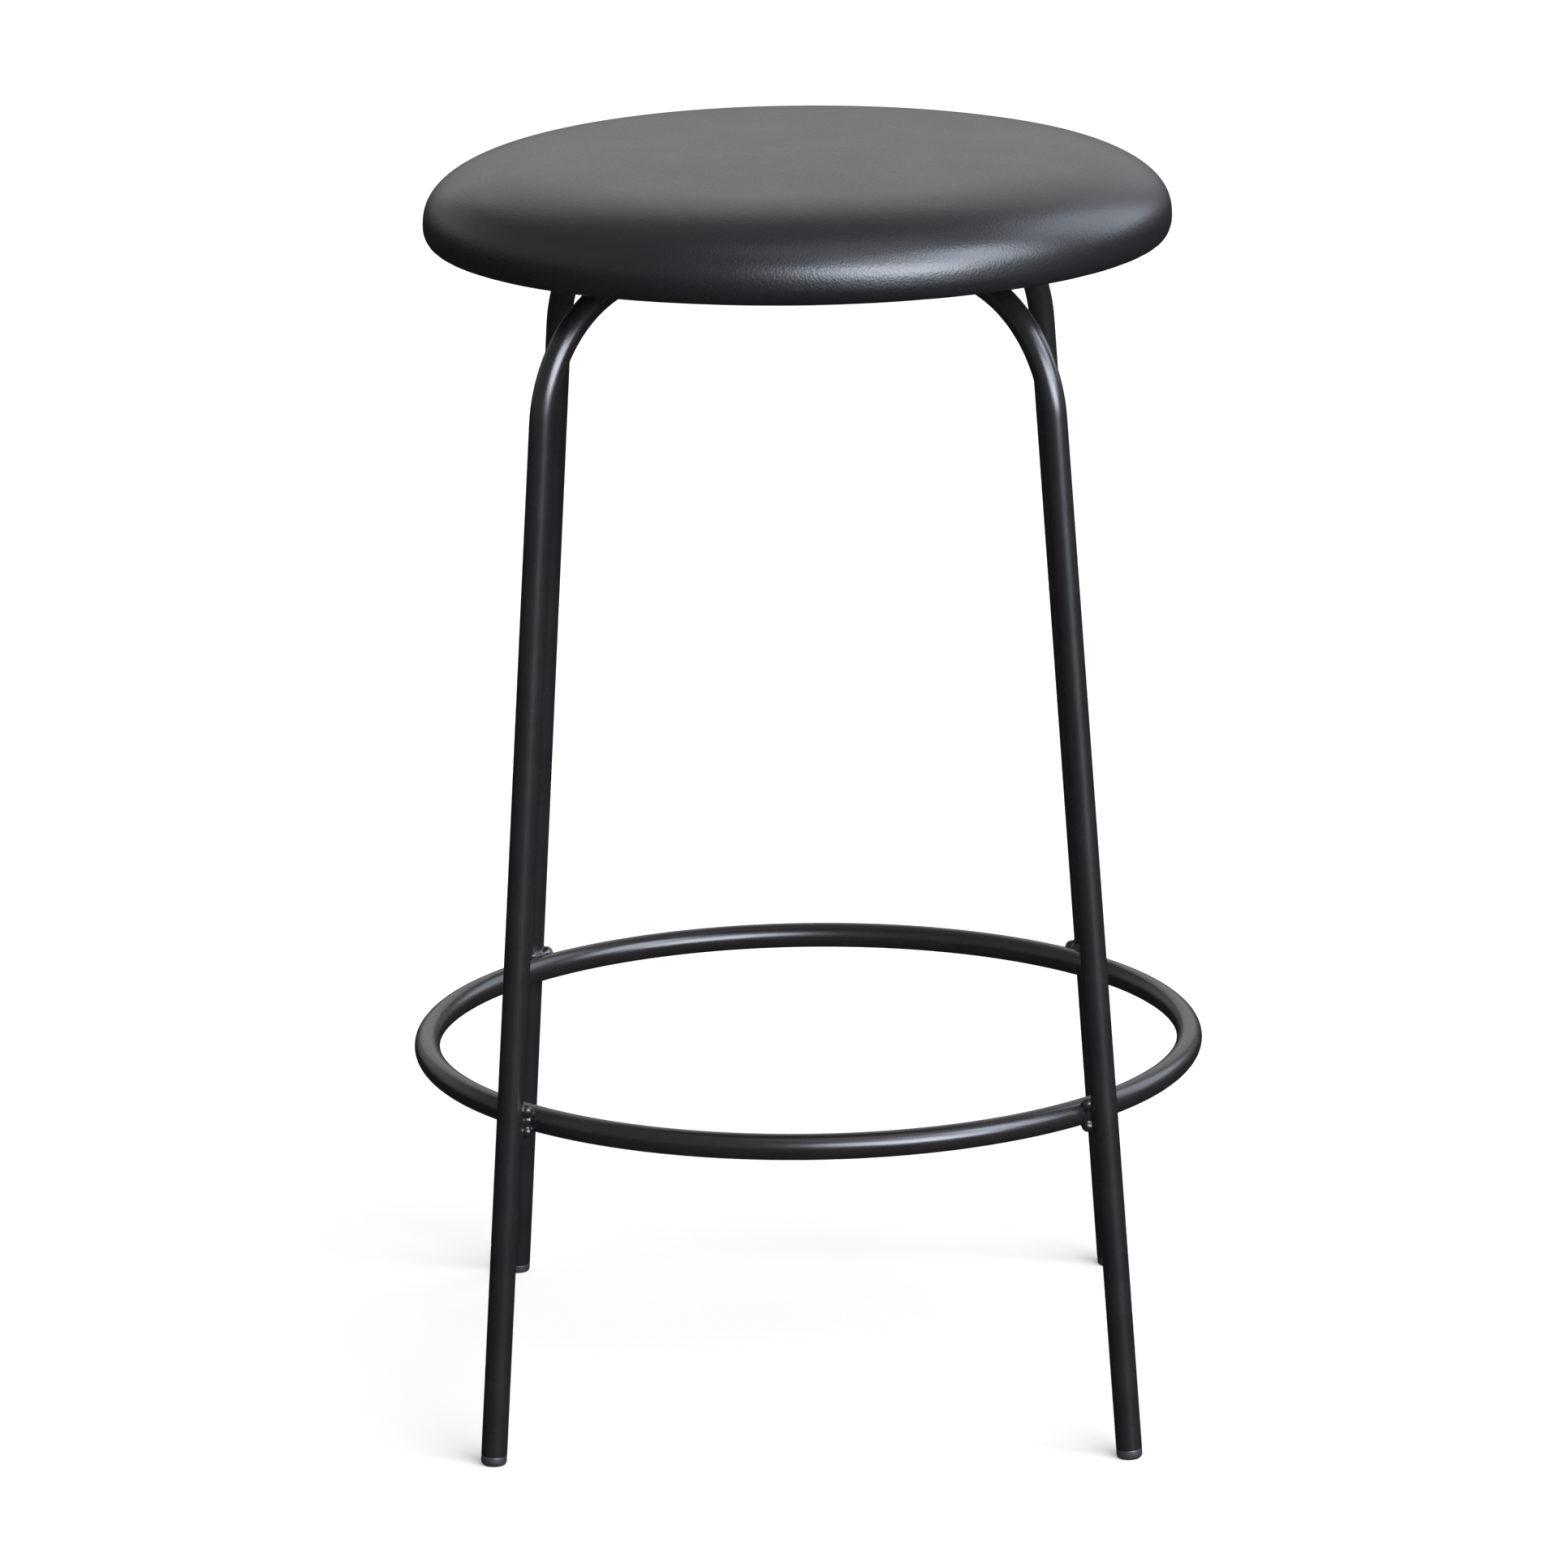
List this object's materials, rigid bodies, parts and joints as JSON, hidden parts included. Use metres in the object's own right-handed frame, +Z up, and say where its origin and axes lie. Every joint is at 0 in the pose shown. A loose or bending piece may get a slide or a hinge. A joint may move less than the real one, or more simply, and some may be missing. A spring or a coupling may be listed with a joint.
{
  "type": "bar stool",
  "caption": "Counter-height bar stool: a round padded seat on splayed tube legs joined by a round footrest ring.",
  "frame": {"origin": "on the floor under the middle of the seat", "axes": "+Z up, +X to the sitter's side seen on the right from the front, the front towards -Y"},
  "size_m": [0.4026, 0.4026, 0.637],
  "materials": {
    "powder_coat": "black powder coat, satin",
    "zinc_steel": "zinc plated",
    "leather": "black, fine grain, satin",
    "plywood": "raw birch plywood",
    "foam": "open-cell upholstery foam",
    "dust_cloth": "black non-woven cloth",
    "glide_plastic": "black moulded plastic"
  },
  "bodies": {
    "root": {"leg_loop": "powder_coat", "leg_front_right": "powder_coat", "leg_rear_left": "powder_coat", "footrest_ring": "powder_coat", "middle_weld_front_right": "powder_coat", "middle_weld_rear_left": "powder_coat", "footrest_weld_front_left": "powder_coat", "footrest_weld_front_right": "powder_coat", "footrest_weld_rear_left": "powder_coat", "footrest_weld_rear_right": "powder_coat", "mounting_tab_front_left": "powder_coat", "mounting_tab_front_right": "powder_coat", "mounting_tab_rear_left": "powder_coat", "mounting_tab_rear_right": "powder_coat", "tab_weld_front_left": "powder_coat", "tab_weld_front_right": "powder_coat", "tab_weld_rear_left": "powder_coat", "tab_weld_rear_right": "powder_coat", "seat_screw_front_left": "zinc_steel", "seat_screw_front_right": "zinc_steel", "seat_screw_rear_left": "zinc_steel", "seat_screw_rear_right": "zinc_steel", "tee_nut_front_left": "zinc_steel", "tee_nut_front_right": "zinc_steel", "tee_nut_rear_left": "zinc_steel", "tee_nut_rear_right": "zinc_steel", "glide_front_left": "glide_plastic", "glide_front_right": "glide_plastic", "glide_rear_left": "glide_plastic", "glide_rear_right": "glide_plastic", "seat_base": "plywood", "foam_pad": "foam", "seat_cover": "leather", "dust_cover": "dust_cloth"}
  },
  "joints": []
}
